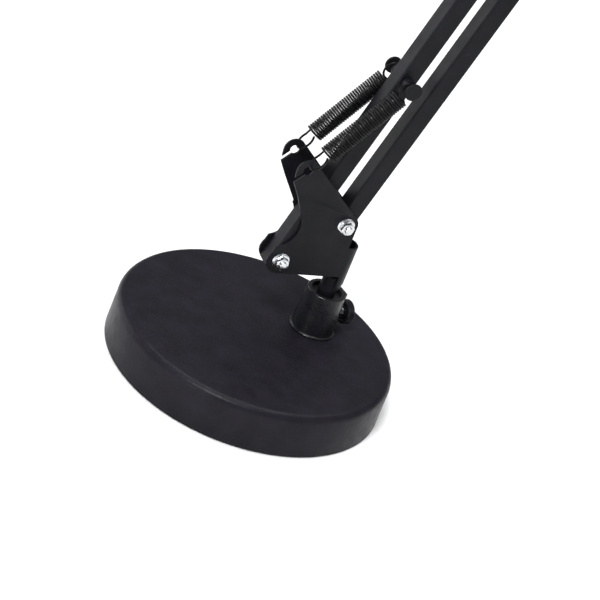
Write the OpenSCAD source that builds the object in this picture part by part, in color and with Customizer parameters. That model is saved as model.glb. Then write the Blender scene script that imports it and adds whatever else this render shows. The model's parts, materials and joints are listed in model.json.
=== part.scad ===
// Architect desk lamp: a weighted round base, a folded swivel bracket, two sprung parallel arms
// and a tilting spun shade. Millimetres, +Z up, origin at the middle of the base on the table top.
// The arms lie in a plane parallel to XZ that passes through the swivel axis. Each [x, z] point
// below is a place in that plane.

/* [Base] */
// Radius of the base at the table
base_r = 95; // [80:1:115]
// Height of the base above the table
base_h = 30.7; // [26:0.1:38]
// Radius of the rounded upper edge
base_edge_r = 5; // [3:0.5:8]
// Inward lean of the base's side wall over its height
base_draft = 0.6; // [0.2:0.1:1.5]
// Thickness of the pressed steel cover
cover_t = 1.2; // [0.8:0.1:2]
// Thickness of the iron weight under the cover
weight_t = 9; // [6:0.5:12]
// Gap between the weight's edge and the cover's wall
weight_gap = 7; // [6:0.5:12]
// Thickness of the bottom board
board_t = 1.6; // [1:0.2:2.4]
// Thickness of the soft pad under the board
pad_t = 1.6; // [1:0.2:3]
// Height of the cover's lower rim above the table
rim_lift = 0.8; // [0.4:0.1:1.6]

/* [Post] */
// Distance of the swivel axis behind the middle of the base, along the arms
post_x = 42; // [34:1:50]
// Distance of the swivel axis to the far side
post_y = 8; // [0:1:14]
// Height of the post socket
socket_h = 30.7; // [26:0.1:36]
// Outer radius just above the foot lip
socket_foot_r = 14.7; // [14:0.1:17]
// Outer radius at the rim
socket_top_r = 13.2; // [12.8:0.1:14]
// Radius of the foot lip
lip_r = 15.7; // [15.7:0.1:18]
// Height of the foot lip
lip_h = 1.6; // [1:0.1:2.5]
// Radius of the wide mouth in the rim
mouth_r = 10.4; // [9:0.1:10.8]
// Depth of the wide mouth
mouth_d = 3.2; // [2:0.1:5]
// Thickness of the socket's floor
socket_floor = 6.5; // [5:0.5:8]
// Width of the boss that carries the thumb screw
boss_w = 10; // [8.5:0.5:11]
// Reach of the boss from the swivel axis
boss_reach = 13.8; // [13.4:0.1:16]
// Radius of the swivel stem
stem_r = 6; // [5:0.01:7.6]
// Radius of the screw that holds the socket down
post_screw_r = 3; // [2.5:0.5:3]

/* [Thumb screw] */
// Direction of the thumb screw around the post
thumb_angle = 10; // [-30:1:60]
// Height of the thumb screw above the base
thumb_z = 13; // [11:0.5:16]
// Radius of the knurled head
thumb_r = 8.3; // [6:0.1:9]
// Thickness of the knurled head
thumb_t = 5.5; // [4:0.5:7]
// Distance of the head's inner face from the swivel axis
thumb_out = 19.4; // [18.5:0.1:22]
// Radius of the steel stud
stud_r = 2.9; // [2:0.1:2.9]

/* [Arms] */
// Side of the square tube of the arms
bar_w = 12.7; // [10:0.01:15.3]
// Wall of the square tube
bar_t = 1; // [0.7:0.1:1.5]
// Corner radius of the square tube
bar_corner = 1.4; // [1.1:0.1:2]
// Length of a bar beyond its pivots
bar_end = 7.5; // [7:0.1:8]
// Lower arm from pivot to pivot
lower_len = 345; // [280:2.5:400]
// Lean of the lower arm from the table
lower_angle = 74.8; // [70:0.1:85]
// Upper arm from pivot to pivot
upper_len = 330; // [280:5:380]
// Direction of the upper arm, from the table behind
upper_angle = 150; // [145:1:155]

/* [Brackets] */
// Thickness of the folded sheet
sheet_t = 1.4; // [1:0.1:1.6]
// Gap between a bar's side and a plate
side_gap = 0.3; // [0.2:0.05:0.5]
// Distance of the lower rear pivot in front of the swivel axis
pivot_back = 45.5; // [44:0.1:50]
// Height of the lower rear pivot above the base
pivot_up = 53.2; // [52:0.1:62]
// Distance between the two lower pivots, along the arms
pivot_dx = 35.1; // [34.5:0.1:37.2]
// Height between the two lower pivots
pivot_dz = 31.6; // [30:0.1:33]
// Radius of the plate around the rear pivot
rear_lobe_r = 9.5; // [9.2:0.1:10.5]
// Radius of the plate around the front pivot
front_lobe_r = 8.5; // [8:0.1:9]
// Radius of a spring hook's head
hook_r = 7.3; // [6.5:0.1:8]
// Radius of a spring hook's eye
eye_r = 3.2; // [2.8:0.1:3.5]
// Width of a spring hook's slot
slot_w = 2.5; // [2:0.1:4]
// Height of a spring hook's eye above the rear pivot
hook_up = 70; // [68:1:76]

/* [Springs] */
// Outer radius of a spring's coil
coil_r = 6.25; // [5.5:0.05:6.3]
// Radius of the spring wire
wire_r = 0.6; // [0.4:0.05:0.8]
// Distance of the lower spring pin from the rear pivot
lower_pin_at = 141.5; // [138:0.5:160]
// Distance of the upper spring pin from the upper arm's pivot
upper_pin_at = 112; // [105:1:125]
// Radius of the spring pin
pin_r = 1.9; // [1.5:0.1:2.2]
// Radius of the spring pin's flat heads
pin_head_r = 5.7; // [5:0.1:6.2]
// Straight lead of wire between a hook's loop and the coil
hook_lead = 7.5; // [4:0.5:12]
// Straight lead of wire between a pin's loop and the coil
pin_lead = 5; // [3:0.5:8]
// Gap between a spring's coil and a bar's side
spring_gap = 0.35; // [0.3:0.05:1.2]
// Length of a spring pin beyond the middle of a spring
pin_over = 5.3; // [4.5:0.1:7]

/* [Fasteners] */
// Radius of the pivot bolts
bolt_r = 2.5; // [2:0.5:3]
// Radius of the flange on bolt heads and nuts
flange_r = 5.9; // [5.4:0.1:6.4]
// Thickness of that flange
flange_t = 1.2; // [0.8:0.1:1.5]
// Width across the hexagon's flats
hex_af = 8; // [7:0.5:8]
// Height of the hexagon above the flange
hex_h = 3.4; // [3:0.1:4]
// Length of thread that stands out of a nut
bolt_out = 1.5; // [0.5:0.1:3]
// Outer radius of the spacer sleeves that the bars turn on
sleeve_r = 3.5; // [3.2:0.1:4]

/* [Head] */
// Radius of the shade at its mouth
mouth_shade_r = 82; // [75:1:88]
// Radius of the shade's neck
neck_r = 31; // [29:0.5:34]
// Height of the shade's neck
neck_h = 44; // [42:1:50]
// Height of the whole shade
shade_h = 150; // [145:1:165]
// Thickness of the shade's sheet
shade_t = 0.9; // [0.7:0.1:1.2]
// Radius of the rolled bead at the mouth
bead_r = 1.6; // [1.3:0.1:2]
// Radius of the shade's rounded shoulder
shoulder_r = 6; // [4:0.5:8]
// Distance of the tilt pivot in front of the upper arm's pivot
tilt_dx = -40; // [-46:1:-38]
// Height of the tilt pivot over the upper arm's pivot
tilt_dz = -12; // [-16:1:-8]
// Radius of the tilt bolt
tilt_bolt_r = 3; // [2.5:0.5:3]
// Thickness of the washer under the tilt knob
tilt_washer_t = 1; // [0.8:0.1:1.6]
// Radius of the knuckle that the shade tilts on
knuckle_r = 8.5; // [7.5:0.5:9]
// Distance from the tilt pivot to the shade's top
knuckle_drop = 26; // [24:1:32]
// Radius of the tilt knob
knob_r = 11; // [9:0.5:13]
// Thickness of the tilt knob
knob_t = 9; // [7:0.5:11]
// Outer radius of the lampholder
holder_r = 18.5; // [17.5:0.5:20]
// Length of the lampholder
holder_h = 40; // [38:1:42]
// Radius of the bulb
bulb_r = 27; // [22:0.5:29]
// Length of the bulb's glass
bulb_h = 88; // [80:1:90]
// Radius of the bulb's screw cap
cap_r = 13; // [13:0.1:13.1]
// Radius of the switch knob
switch_r = 8; // [6:0.5:9]

/* [Hidden] */
$fn = 72;
run_gap = 0.05;      // radial clearance of a running fit
open_gap = 0.3;      // radial clearance where a four-bar loop closes
loose_gap = 0.5;     // clearance of a hole around a screw
edge_gap = 0.2;      // clearance between faces that slide past each other
skin = 0.4;          // small rounding of an edge
tuck = 0.05;         // how far a web's corners sit inside the lobes it joins
past = 1;            // how far a cutting body runs past the face it cuts

// Screws and their washers
screw_hex_r = 5.8;                   // across the corners of an M6 head, as a radius
screw_hex_h = 4;
post_washer_r = 9;
post_washer_t = 1.6;
thread_floor = 1;                    // what is left of a knob or a wall under a blind hole
bolt_recess = 0.5;                   // depth of the dimple's rim in a bolt head

// Springs
spring_y = bar_w / 2 + spring_gap + coil_r;
pin_len = 2 * (spring_y + pin_over);
pin_head_t = 1.6;
pin_shoulder_r = pin_r + 2.4;
pin_shoulder_gap = 2;                // from the middle of a spring to the pin's shoulder

// Swivel bracket
half_gap = bar_w / 2 + side_gap;
half_out = half_gap + sheet_t;
pivot_a = [post_x - pivot_back, base_h + pivot_up];
pivot_b = pivot_a + [pivot_dx, pivot_dz];
hook_back = -8.7;                     // the hook's eye, in front of the rear pivot
hook_a = pivot_a + [hook_back, hook_up];
hook_slot = 229;                     // direction of the slot out of the hook's eye
notch_at = [-11.7, 25];             // middle of the round notch in the plates, from the rear pivot
notch_r = 16.2;
plate_waist = [1.2, 36.5];            // narrowest place under the hook, from the rear pivot
bracket_low = -7;                    // plates' lower edge at the back, from the rear pivot
web_top = 15;                        // top of the half-round back, from the rear pivot
back_low = -13.5;                    // where the half-round back starts to narrow
tail_low = -22;                      // where it has narrowed to the stem
stem_top = -10;                      // the open top of the stem, from the rear pivot
lower_bend = [38, 52];               // heights between which the plates splay to the hooks
stem_low = base_h + socket_floor + edge_gap;

// Lower arm
lower_dir = [cos(lower_angle), sin(lower_angle)];
pivot_a2 = pivot_a + lower_len * lower_dir;
pivot_b2 = pivot_b + lower_len * lower_dir;
lower_pin = pivot_a + lower_pin_at * lower_dir;

// Elbow and upper arm
upper_dir = [cos(upper_angle), sin(upper_angle)];
link_cd = [12, 26.4];                // from the upper arm's lower pivot to its top one
link_ac = [2, 38];                   // from the lower arm's rear pivot to the upper arm's lower one
pivot_c = pivot_a2 + link_ac;
pivot_d = pivot_c + link_cd;
link_hook = [3, 56];                 // from the upper arm's top pivot to the hook's eye
hook_d = pivot_d + link_hook;
elbow_bend = [14, 28];               // heights above the top pivot between which the plates splay
elbow_lobe_r = 9;
pivot_c2 = pivot_c + upper_len * upper_dir;
pivot_d2 = pivot_d + upper_len * upper_dir;
upper_pin = pivot_d + upper_pin_at * upper_dir;

// Head, measured down from the shade's top
tilt = pivot_c2 + [tilt_dx, tilt_dz];
shade_top = tilt[1] - knuckle_drop;
holder_top = 3;
holder_bore_r = cap_r + 0.9;
holder_wall = 6;                     // solid end of the lampholder over its bore
shell_t = 0.5;
contact_r = 4;
contact_t = 3;
ring_t = 3;
ring_h = 5;
ring_lift = 4;                       // the ring above the lampholder's mouth
glass_drop = 4;                      // the glass below the lampholder's mouth
glass_top = holder_top + holder_h + glass_drop;
glass_t = 1;
cap_t = 0.6;
cap_h = 26;
flange_disc_r = 17;
flange_disc_t = 3;
flange_screws = 12;                  // distance of the two screws from the shade's axis
shade_screw_r = 1.5;
shade_screw_head = [2.8, 1.6];       // radius and height
shade_screw_in = 2;                  // thread below the shade's sheet
vents = 10;
vent = [3, 14, 6];                   // width, height and distance below the neck's lower end

// Switch and gland, on opposite sides of the neck
gland_z = 16;
switch_z = 22;
neck_hole_r = 5;
seat_gap = 0.2;                      // between a collar and the round neck
switch_inside = 8;
switch_outside = 3;
switch_collar = [7, 1.4];            // radius and thickness
spindle_r = 2;
spindle_in = 3;
spindle_free = 4;                    // depth of the spindle's hole inside the neck
switch_lift = 3.4;                   // the knob's inner face outside the neck
switch_h = 9;
gland_bore_r = 3.1;
gland_collar = [7.2, 2.4];           // radius and thickness
gland_inside = 4;
gland_tip = [4, 8];                  // radius at the tip, length

// Tilt knob
knob_lobes = 6;
knob_cap = 2.5;                      // solid end of the knob over the bolt
knob_cut_r = 4;                      // radius of the grooves between the lobes
knob_cut_at = 2;                     // middle of a groove outside the knob

black = [0.10, 0.10, 0.11];
dark = [0.16, 0.16, 0.17];
zinc = [0.78, 0.79, 0.80];
brass = [0.75, 0.62, 0.30];
board = [0.35, 0.27, 0.20];
glass = [0.95, 0.95, 0.92];

// ---- Helpers ----

// A place in the arms' plane, y away from its middle
module at(p, y = 0) { translate([p[0], post_y + y, p[1]]) children(); }

// A rod along Y from y0 to y1
module rod(r, y0, y1) { translate([0, y0, 0]) rotate([-90, 0, 0]) cylinder(r = r, h = y1 - y0); }

// A drawing in [x, z] made solid along Y from y0 to y1
module slab(y0, y1) { translate([0, y1, 0]) rotate([90, 0, 0]) linear_extrude(y1 - y0) children(); }

// A square with rounded corners
module round_square(w, r) {
    square([w - 2 * r, w], center = true);
    square([w, w - 2 * r], center = true);
    for (sx = [-1, 1], sy = [-1, 1]) translate([sx, sy] * (w / 2 - r)) circle(r);
}

// The four points where the outer tangents of two circles touch them, tucked just inside
function tangent_points(a, ra, b, rb) =
    let (d = b - a, turn = atan2(d[1], d[0]), open = acos((ra - rb) / norm(d)))
    [for (s = [1, -1]) a + (ra - tuck) * [cos(turn + s * open), sin(turn + s * open)],
     for (s = [-1, 1]) b + (rb - tuck) * [cos(turn + s * open), sin(turn + s * open)]];

// The straight web between two round lobes
module web(a, ra, b, rb) { polygon(tangent_points(a, ra, b, rb)); }

// Round lobes of one radius
module lobes(points, r) { for (p = points) translate(p) circle(r); }

// A square tube from p along angle, with holes across it at 0 and at len
module bar(p, angle, len, r_start, r_end, extra_holes = []) {
    at(p) rotate([0, -angle, 0]) difference() {
        translate([-bar_end, 0, 0]) rotate([90, 0, 90]) linear_extrude(len + 2 * bar_end)
            difference() {
                round_square(bar_w, bar_corner);
                round_square(bar_w - 2 * bar_t, bar_corner - bar_t + 0.1);
            }
        rod(r_start, -bar_w, bar_w);
        translate([len, 0, 0]) rod(r_end, -bar_w, bar_w);
        for (hole = extra_holes) translate([hole[0], 0, 0]) rod(hole[1], -bar_w, bar_w);
    }
}

// A sheet wall that runs from the inner gap out to the springs between two heights.
// side is -1 for the near wall and 1 for the far wall
module splayed_wall(side, bend, low, high, x0, x1) {
    inner = half_gap;
    outer = spring_y - sheet_t / 2;
    wall = [[inner, low], [inner + sheet_t, low], [inner + sheet_t, bend[0]],
        [outer + sheet_t, bend[1]], [outer + sheet_t, high], [outer, high],
        [outer, bend[1]], [inner, bend[0]]];
    translate([x0, 0, 0]) rotate([90, 0, 90]) linear_extrude(x1 - x0)
        polygon([for (q = wall) [side * q[0], q[1]]]);
}

// The eye and slot of a spring hook, cut from a drawing; turn is the slot's way out
module hook_cut(p, turn) {
    translate(p) circle(eye_r);
    translate(p) rotate(turn) translate([0, -slot_w / 2]) square([2 * hook_r + past, slot_w]);
}

// Bolt along Y through plates: flange head on the far side, thread end on the near side
module pivot_bolt(p) {
    at(p) {
        rod(bolt_r, -half_out - flange_t - hex_h - bolt_out, half_out + flange_t);
        difference() {
            union() {
                rod(flange_r, half_out, half_out + flange_t);
                translate([0, half_out + flange_t, 0]) rotate([-90, 0, 0])
                    cylinder(r = hex_af / sqrt(3), h = hex_h, $fn = 6);
            }
            rod(bolt_r - bolt_recess, half_out + flange_t + hex_h - 2 * bolt_recess,
                half_out + flange_t + hex_h + past);
        }
    }
}

// Flange nut on the near side
module pivot_nut(p) {
    at(p) difference() {
        union() {
            rod(flange_r, -half_out - flange_t, -half_out);
            translate([0, -half_out - flange_t - hex_h, 0]) rotate([-90, 0, 0])
                cylinder(r = hex_af / sqrt(3), h = hex_h, $fn = 6);
        }
        rod(bolt_r + run_gap, -half_out - flange_t - hex_h - past, -half_out + past);
    }
}

// Spacer sleeve between two plates
module sleeve(p) {
    at(p) difference() {
        rod(sleeve_r, -half_gap, half_gap);
        rod(bolt_r + run_gap, -half_gap - past, half_gap + past);
    }
}

// Cross pin with flat heads and shoulders for the springs
module spring_pin(p) {
    shoulder = spring_y - pin_shoulder_gap;
    at(p) {
        rod(pin_r, -pin_len / 2, pin_len / 2);
        for (side = [-1, 1]) {
            y_head = side * (pin_len - pin_head_t) / 2;
            rod(pin_head_r, y_head - pin_head_t / 2, y_head + pin_head_t / 2);
            y_mid = side * (shoulder + bar_w / 2 + edge_gap) / 2;
            half = (shoulder - bar_w / 2 - edge_gap) / 2;
            rod(pin_shoulder_r, y_mid - half, y_mid + half);
        }
    }
}

// Half ring of wire around -X, with two straight legs of the given length along +X
module spring_loop(ring_r, lead) {
    rotate(90) rotate_extrude(angle = 180) translate([ring_r, 0]) circle(wire_r, $fn = 24);
    for (leg = [-1, 1]) translate([0, leg * ring_r, 0]) rotate([0, 90, 0])
        cylinder(r = wire_r, h = lead + wire_r);
}

// Tension spring from a hook's eye to a pin: a sleeve for the coil and a loop at each end
module tension_spring(hook, pin, side) {
    v = pin - hook;
    len = norm(v);
    ring_r = coil_r - wire_r;
    hook_ring = eye_r - 2 * wire_r + ring_r;
    pin_ring = len + pin_r + wire_r + run_gap - ring_r;
    coil_start = hook_ring + hook_lead;
    coil_end = pin_ring - pin_lead;
    at(hook, side * spring_y) rotate([0, -atan2(v[1], v[0]), 0]) {
        translate([hook_ring, 0, 0]) spring_loop(ring_r, hook_lead);
        translate([pin_ring, 0, 0]) rotate([90, 0, 180]) spring_loop(ring_r, pin_lead);
        translate([coil_start, 0, 0]) rotate([0, 90, 0]) difference() {
            cylinder(r = coil_r, h = coil_end - coil_start);
            translate([0, 0, -past]) cylinder(r = coil_r - 2 * wire_r,
                h = coil_end - coil_start + 2 * past);
        }
    }
}

// ---- Base ----

// Half section of the cover's outside, grown inwards by t
module cover_section(t) {
    top_r = base_r - base_draft - t;
    top_z = base_h - t;
    edge = base_edge_r - t;
    polygon([[0, rim_lift], [base_r - t, rim_lift], [top_r, top_z - edge], [0, top_z - edge]]);
    square([top_r - edge, top_z]);
    translate([top_r - edge, top_z - edge]) circle(edge);
}

module base_cover() {
    color(black) difference() {
        rotate_extrude($fn = 144) difference() {
            intersection() {
                cover_section(0);
                translate([0, rim_lift]) square([base_r + past, base_h]);
            }
            cover_section(cover_t);
            translate([0, rim_lift - past]) square([base_r - cover_t, past + skin]);
        }
        translate([post_x, post_y, base_h - cover_t - past])
            cylinder(r = post_screw_r + loose_gap, h = cover_t + 2 * past);
    }
}

module base_weight() {
    weight_top = base_h - cover_t;
    color(dark) difference() {
        translate([0, 0, weight_top - weight_t])
            cylinder(r = base_r - cover_t - weight_gap, h = weight_t, $fn = 144);
        translate([post_x, post_y, weight_top - weight_t - past])
            cylinder(r = post_screw_r + loose_gap, h = weight_t + 2 * past);
    }
}

module base_board() {
    color(board) translate([0, 0, pad_t])
        cylinder(r = base_r - cover_t - base_draft, h = board_t, $fn = 144);
}

module base_pad() {
    color(dark) cylinder(r = base_r - cover_t - base_draft - 1, h = pad_t, $fn = 144);
}

// ---- Post ----

module post_socket() {
    wall_top = socket_h - skin;
    outside = [[0, 0], [lip_r - skin, 0], [lip_r, skin], [lip_r, lip_h - skin],
        [lip_r - skin, lip_h], [socket_foot_r, lip_h + skin], [socket_top_r, wall_top],
        [socket_top_r - skin, socket_h], [0, socket_h]];
    color(black) translate([post_x, post_y, base_h]) difference() {
        union() {
            rotate_extrude() polygon(outside);
            rotate([0, 0, thumb_angle]) translate([0, -boss_w / 2, lip_h / 2])
                cube([boss_reach, boss_w, socket_h - lip_h / 2 - skin / 2]);
        }
        translate([0, 0, socket_h - mouth_d]) cylinder(r = mouth_r, h = mouth_d + past);
        translate([0, 0, socket_floor]) cylinder(r = stem_r + run_gap, h = socket_h);
        translate([0, 0, -past]) cylinder(r = post_screw_r + run_gap, h = socket_floor - past);
        rotate([0, 0, thumb_angle]) translate([0, 0, thumb_z]) rotate([0, 90, 0])
            cylinder(r = stud_r + run_gap, h = boss_reach + past);
    }
}

module post_screw() {
    head_top = base_h - cover_t - weight_t - post_washer_t;
    screw_top = base_h + socket_floor - past - thread_floor;
    color(zinc) translate([post_x, post_y, 0]) {
        translate([0, 0, head_top]) cylinder(r = post_screw_r, h = screw_top - head_top);
        translate([0, 0, head_top - screw_hex_h])
            cylinder(r = screw_hex_r, h = screw_hex_h, $fn = 6);
    }
}

module post_washer() {
    washer_low = base_h - cover_t - weight_t - post_washer_t;
    color(zinc) translate([post_x, post_y, washer_low]) difference() {
        cylinder(r = post_washer_r, h = post_washer_t);
        translate([0, 0, -past]) cylinder(r = post_screw_r + run_gap, h = post_washer_t + 2 * past);
    }
}

// Places its children with +X along the thumb screw's axis, from the swivel axis outwards
module at_thumb() {
    translate([post_x, post_y, base_h + thumb_z]) rotate([0, 0, thumb_angle]) children();
}

module thumb_stud() {
    color(zinc) at_thumb() translate([stem_r + edge_gap, 0, 0]) rotate([0, 90, 0])
        cylinder(r = stud_r, h = thumb_out + thumb_t - thread_floor - stem_r - edge_gap);
}

module thumb_knob() {
    edge = 2 * skin;
    groove_r = thumb_r - 2;
    hub_r = stud_r + 1.4;
    color(black) at_thumb() rotate([0, 90, 0]) difference() {
        rotate_extrude() polygon([[0, thumb_out], [thumb_r - edge, thumb_out],
            [thumb_r, thumb_out + edge], [thumb_r, thumb_out + thumb_t - edge],
            [thumb_r - edge, thumb_out + thumb_t], [0, thumb_out + thumb_t]]);
        translate([0, 0, thumb_out - past]) cylinder(r = stud_r, h = thumb_t - thread_floor + past);
        translate([0, 0, thumb_out - past]) difference() {
            cylinder(r = groove_r, h = past + edge);
            cylinder(r = hub_r, h = past + edge);
        }
    }
}

// ---- Swivel bracket ----

// Outline of the bracket's side plate, from the rear pivot
module bracket_outline() {
    b = [pivot_dx, pivot_dz];
    hook = hook_a - pivot_a;
    back = pivot_back;
    step = b + [front_lobe_r, 0];
    top = tangent_points(b, front_lobe_r, hook, hook_r);
    difference() {
        union() {
            circle(rear_lobe_r);
            translate(b) circle(front_lobe_r);
            translate(hook) circle(hook_r);
            polygon([[0, tuck - rear_lobe_r], [back, bracket_low], [back, web_top],
                [step[0], web_top], step, top[1], top[2], hook - [hook_r, 1.5],
                hook - [hook_r - 1, hook_r + 2], plate_waist, [-rear_lobe_r, 0]]);
        }
        translate(notch_at) circle(notch_r);
        hook_cut(hook, hook_slot);
    }
}

// Half-round back from one height to another, from the rear pivot's height
module half_round(r_out, r_in, low, high) {
    translate([0, 0, low]) rotate([0, 0, -90]) rotate_extrude(angle = 180)
        translate([r_in, 0]) square([r_out - r_in, high - low]);
}

module swivel_bracket() {
    stem_in = stem_r - sheet_t;
    color(black) {
        at(pivot_a) for (side = [-1, 1]) difference() {
            intersection() {
                slab(-spring_y - sheet_t, spring_y + sheet_t) bracket_outline();
                splayed_wall(side, lower_bend, -rear_lobe_r - past, hook_up + hook_r + past,
                    -2 * rear_lobe_r, pivot_back);
            }
            for (p = [[0, 0], [pivot_dx, pivot_dz]]) translate([p[0], 0, p[1]])
                rod(bolt_r + run_gap, -half_out - past, half_out + past);
        }
        translate([post_x, post_y, pivot_a[1]]) {
            half_round(half_out, half_gap, back_low, web_top);
            rotate([0, 0, -90]) rotate_extrude(angle = 180) polygon([[half_gap, back_low],
                [half_out, back_low], [stem_r, tail_low], [stem_in, tail_low]]);
        }
        translate([post_x, post_y, stem_low]) difference() {
            cylinder(r = stem_r, h = pivot_a[1] + stem_top - stem_low);
            translate([0, 0, -past]) cylinder(r = stem_in, h = pivot_a[1]);
        }
    }
}

module lower_pivot_bolts() { color(zinc) { pivot_bolt(pivot_a); pivot_bolt(pivot_b); } }
module lower_pivot_nuts() { color(zinc) { pivot_nut(pivot_a); pivot_nut(pivot_b); } }
module lower_pivot_sleeves() { color(zinc) { sleeve(pivot_a); sleeve(pivot_b); } }

// ---- Lower arm ----

module lower_rear_bar() {
    color(black) bar(pivot_a, lower_angle, lower_len, sleeve_r + run_gap, sleeve_r + run_gap,
        [[lower_pin_at, pin_r + run_gap]]);
}

module lower_front_bar() {
    color(black) bar(pivot_b, lower_angle, lower_len, sleeve_r + run_gap, sleeve_r + open_gap);
}

module lower_spring_pin() { color(black) spring_pin(lower_pin); }
module lower_spring_near() { color(black) tension_spring(hook_a, lower_pin, -1); }
module lower_spring_far() { color(black) tension_spring(hook_a, lower_pin, 1); }

// ---- Elbow ----

// Outline of an elbow plate, from the rear bar's upper pivot
module elbow_outline() {
    a = [0, 0];
    b = pivot_b2 - pivot_a2;
    c = pivot_c - pivot_a2;
    d = pivot_d - pivot_a2;
    hook = hook_d - pivot_a2;
    difference() {
        union() {
            lobes([a, b, c, d], elbow_lobe_r);
            translate(hook) circle(hook_r);
            web(a, elbow_lobe_r, b, elbow_lobe_r);
            web(a, elbow_lobe_r, c, elbow_lobe_r);
            web(b, elbow_lobe_r, d, elbow_lobe_r);
            web(c, elbow_lobe_r, d, elbow_lobe_r);
            web(d, elbow_lobe_r, hook, hook_r);
            polygon([a, b, d, c]);
        }
        hook_cut(hook, 0);
    }
}

module elbow_plate(side) {
    bend = [for (z = elbow_bend) pivot_d[1] - pivot_a2[1] + z];
    color(black) at(pivot_a2) difference() {
        intersection() {
            slab(-spring_y - sheet_t, spring_y + sheet_t) elbow_outline();
            splayed_wall(side, bend, -elbow_lobe_r - past, hook_d[1] - pivot_a2[1] + hook_r + past,
                -2 * elbow_lobe_r, pivot_dx + 2 * elbow_lobe_r);
        }
        for (p = [pivot_a2, pivot_b2, pivot_c, pivot_d])
            translate([p[0] - pivot_a2[0], 0, p[1] - pivot_a2[1]])
                rod(bolt_r + run_gap, -half_out - past, half_out + past);
    }
}

module elbow_plate_near() { elbow_plate(-1); }
module elbow_plate_far() { elbow_plate(1); }

module elbow_bolts() { color(zinc) for (p = [pivot_a2, pivot_b2, pivot_c, pivot_d]) pivot_bolt(p); }
module elbow_nuts() { color(zinc) for (p = [pivot_a2, pivot_b2, pivot_c, pivot_d]) pivot_nut(p); }
module elbow_sleeves() { color(zinc) for (p = [pivot_a2, pivot_b2, pivot_c, pivot_d]) sleeve(p); }

// ---- Upper arm ----

module upper_lower_bar() {
    color(black) bar(pivot_c, upper_angle, upper_len, sleeve_r + run_gap, sleeve_r + open_gap);
}

module upper_top_bar() {
    color(black) bar(pivot_d, upper_angle, upper_len, sleeve_r + run_gap, sleeve_r + run_gap,
        [[upper_pin_at, pin_r + run_gap]]);
}

module upper_spring_pin() { color(black) spring_pin(upper_pin); }
module upper_spring_near() { color(black) tension_spring(hook_d, upper_pin, -1); }
module upper_spring_far() { color(black) tension_spring(hook_d, upper_pin, 1); }

// ---- Head ----

module head_plate(side) {
    c = pivot_c2 - tilt;
    d = pivot_d2 - tilt;
    y0 = side < 0 ? -half_out : half_gap;
    color(black) at(tilt) difference() {
        slab(y0, y0 + sheet_t) {
            circle(knuckle_r);
            lobes([c, d], elbow_lobe_r);
            web([0, 0], knuckle_r, c, elbow_lobe_r);
            web(c, elbow_lobe_r, d, elbow_lobe_r);
            web([0, 0], knuckle_r, d, elbow_lobe_r);
            polygon([[0, 0], c, d]);
        }
        rod(tilt_bolt_r + run_gap, -half_out - past, half_out + past);
        for (p = [c, d]) translate([p[0], 0, p[1]])
            rod(bolt_r + run_gap, -half_out - past, half_out + past);
    }
}

module head_plate_near() { head_plate(-1); }
module head_plate_far() { head_plate(1); }

module head_bolts() { color(zinc) { pivot_bolt(pivot_c2); pivot_bolt(pivot_d2); } }
module head_nuts() { color(zinc) { pivot_nut(pivot_c2); pivot_nut(pivot_d2); } }
module head_sleeves() { color(zinc) { sleeve(pivot_c2); sleeve(pivot_d2); } }

module tilt_bolt() {
    color(zinc) at(tilt) {
        rod(tilt_bolt_r, -half_out - tilt_washer_t - knob_t + knob_cap, half_out + screw_hex_h / 2);
        translate([0, half_out, 0]) rotate([-90, 0, 0])
            cylinder(r = screw_hex_r, h = screw_hex_h, $fn = 6);
    }
}

module tilt_washer() {
    color(zinc) at(tilt) difference() {
        rod(screw_hex_r + skin, -half_out - tilt_washer_t, -half_out);
        rod(tilt_bolt_r + run_gap, -half_out - tilt_washer_t - past, -half_out + past);
    }
}

module tilt_knob() {
    y_in = -half_out - tilt_washer_t - edge_gap;
    color(black) at(tilt) difference() {
        rod(knob_r, y_in - knob_t, y_in);
        rod(tilt_bolt_r + run_gap, y_in - knob_t + knob_cap, y_in + past);
        for (i = [0 : knob_lobes - 1]) rotate([0, i * 360 / knob_lobes, 0])
            translate([knob_r + knob_cut_at, 0, 0]) rod(knob_cut_r, y_in - knob_t - past, y_in + past);
    }
}

// Places its children on the shade's axis with z = 0 at the shade's top
module at_shade() { translate([tilt[0], post_y, shade_top]) children(); }

module shade_arm() {
    half_knuckle = half_gap - edge_gap;
    color(black) difference() {
        union() {
            at(tilt) rod(knuckle_r, -half_knuckle, half_knuckle);
            at_shade() translate([-half_knuckle, -half_knuckle, 0])
                cube([2 * half_knuckle, 2 * half_knuckle, knuckle_drop]);
            at_shade() cylinder(r = flange_disc_r, h = flange_disc_t);
        }
        at(tilt) rod(tilt_bolt_r + run_gap, -half_out, half_out);
        for (side = [-1, 1]) at_shade() translate([side * flange_screws, 0, -past])
            cylinder(r = shade_screw_r + run_gap, h = flange_disc_t + 2 * past);
    }
}

module shade_screws() {
    color(zinc) for (side = [-1, 1]) at_shade() translate([side * flange_screws, 0, 0]) {
        translate([0, 0, -shade_t - shade_screw_in])
            cylinder(r = shade_screw_r, h = shade_t + shade_screw_in + flange_disc_t);
        translate([0, 0, flange_disc_t]) cylinder(r = shade_screw_head[0], h = shade_screw_head[1]);
    }
}

// Points of an arc about a centre, from one angle to another
function arc(centre, r, from, to, steps) =
    [for (i = [0 : steps]) centre + r * [cos(from + (to - from) * i / steps),
                                         sin(from + (to - from) * i / steps)]];

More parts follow.
